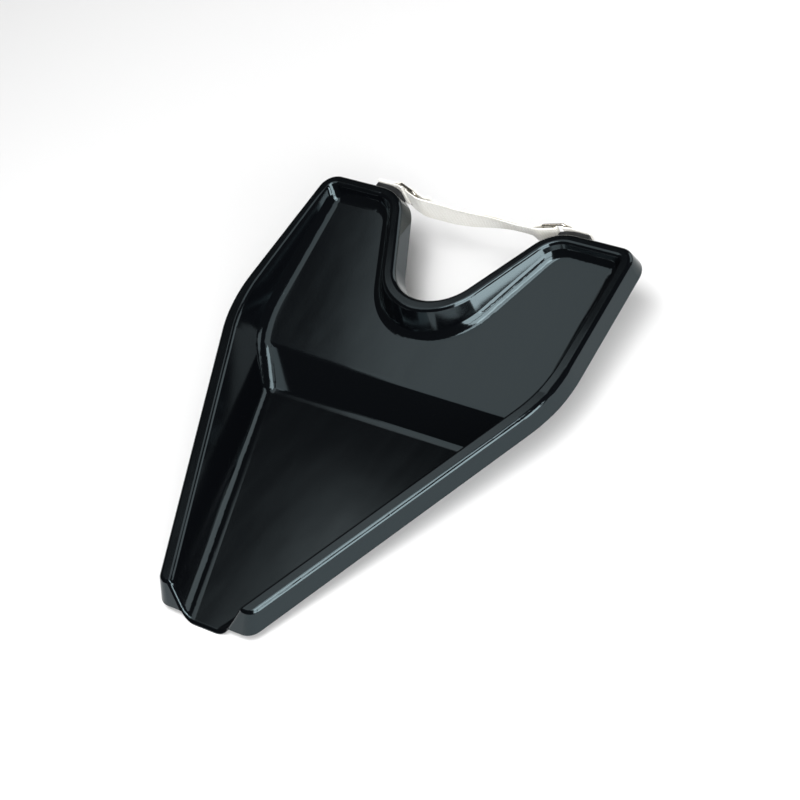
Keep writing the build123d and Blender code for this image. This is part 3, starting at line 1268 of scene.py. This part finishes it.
@dataclass(frozen=True)
class SoftLight:
    """One rectangular softbox, set by its direction from the tray.

    Attributes:
        name: the lamp's name.
        azimuth: 0 is in front of the pouring end, and 90 is on the tray's right, in degrees.
        elevation: above the horizon, in degrees.
        distance: from the tray, in metres.
        size: width and height in metres.
        glow: how bright its face looks, where the floor is about 1.
        roll: turn about its own axis, in degrees.
    """

    name: str
    azimuth: float
    elevation: float
    distance: float
    size: tuple[float, float]
    glow: float
    roll: float = 0.0

    def hang(self, target: Vector) -> Object:
        """Hangs the softbox facing the target.

        Args:
            target: the place that it faces.

        Returns:
            The lamp.
        """
        back = direction_to(self.azimuth, self.elevation)
        lamp = bpy.data.lights.new(self.name, "AREA")
        lamp.shape = "RECTANGLE"
        lamp.size, lamp.size_y = self.size
        lamp.energy = self.glow * math.pi * self.size[0] * self.size[1]
        obj = bpy.data.objects.new(self.name, lamp)
        bpy.context.scene.collection.objects.link(obj)
        obj.location = target + back * self.distance
        facing = (-back).to_track_quat("-Z", "Y")
        turn = Quaternion((0, 0, 1), math.radians(self.roll))
        obj.rotation_euler = (facing @ turn).to_euler()
        return obj


@dataclass
class Studio:
    """A pale floor, soft light and the camera."""

    floor_colour: str = "#ececec"
    floor_half: float = 6.0
    floor_roughness: float = 0.9
    room_glow: float = 0.03
    target: tuple[float, float, float] = (0.0, 0.02219, 0.05267)
    distance: float = 2.5137
    azimuth: float = 53.078
    elevation: float = 41.067
    roll: float = -23.973
    lens: float = 126.36
    shift: Plan = (0.05125, -0.02549)
    lights: tuple[SoftLight, ...] = (
        SoftLight("strip_softbox_low", 46.0, 24.0, 3.4, (1.5, 2.4), 8.0),
        SoftLight("strip_softbox_high", 46.0, 62.0, 3.4, (1.5, 1.9), 8.0),
        SoftLight("overhead_softbox", 0.0, 80.0, 3.0, (1.6, 1.2), 5.0),
        SoftLight("low_side_softbox", 74.0, 13.0, 3.2, (1.7, 1.5), 9.0),
        SoftLight("near_glow", -99.0, 68.0, 1.05, (0.8, 0.72), 1.15, 12.0),
        SoftLight("backdrop_fill", 165.0, 25.0, 3.2, (2.4, 1.8), 1.5),
    )

    def lay_floor(self) -> Object:
        """Lays the floor just under the tray."""
        h = self.floor_half
        corners = [Vector((x, y, 0.0)) for x, y in ((-h, -h), (h, -h), (h, h), (-h, h))]
        floor = mesh_object("studio_floor", corners, [(0, 1, 2, 3)])
        material, _, shader = start_material("seamless_paper")
        shader.inputs["Base Color"].default_value = linear(self.floor_colour)
        shader.inputs["Roughness"].default_value = self.floor_roughness
        floor.data.materials.append(material)
        return floor

    def fill_light(self) -> None:
        """Lights the room evenly from all round."""
        world = bpy.data.worlds.new("studio_room")
        world.use_nodes = True
        back = world.node_tree.nodes["Background"]
        back.inputs["Color"].default_value = (1.0, 1.0, 1.0, 1.0)
        back.inputs["Strength"].default_value = self.room_glow
        bpy.context.scene.world = world

    def place_camera(self) -> Object:
        """Sets the camera up.

        Returns:
            The camera, which the scene now uses.
        """
        roll = math.radians(self.roll)
        back = direction_to(self.azimuth, self.elevation)
        level = (-back).cross(Vector((0, 0, 1))).normalized()
        upright = level.cross(-back)
        right = level * math.cos(roll) + upright * math.sin(roll)
        up = upright * math.cos(roll) - level * math.sin(roll)
        data = bpy.data.cameras.new("studio_camera")
        data.lens, data.sensor_width = self.lens, SENSOR_MM
        data.shift_x, data.shift_y = self.shift
        camera = bpy.data.objects.new("studio_camera", data)
        bpy.context.scene.collection.objects.link(camera)
        turn = Matrix((right, up, back)).transposed()
        camera.matrix_world = (
            Matrix.Translation(Vector(self.target) + back * self.distance) @ turn.to_4x4()
        )
        bpy.context.scene.camera = camera
        return camera

    def build(self) -> None:
        """Sets up the floor, the lights and the camera."""
        self.lay_floor()
        self.fill_light()
        for light in self.lights:
            light.hang(Vector(self.target))
        self.place_camera()
        bpy.context.scene.view_settings.view_transform = "Standard"


def main() -> None:
    """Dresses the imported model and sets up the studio."""
    logging.basicConfig(level=logging.INFO, format="%(name)s: %(message)s")
    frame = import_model()
    rim = RimPlane()
    finishes = Finishes()
    for name in Tray(frame["nodes"], finishes).dress():
        log.info("dressed %s", name)
    for piece in Strap(rim, finishes).build():
        log.info("built %s, %d faces", piece.name, len(piece.data.polygons))
    rivets = Rivets(rim, finishes).build()
    log.info("built %s, %d faces", rivets.name, len(rivets.data.polygons))
    Studio().build()


if __name__ == "__main__":
    main()
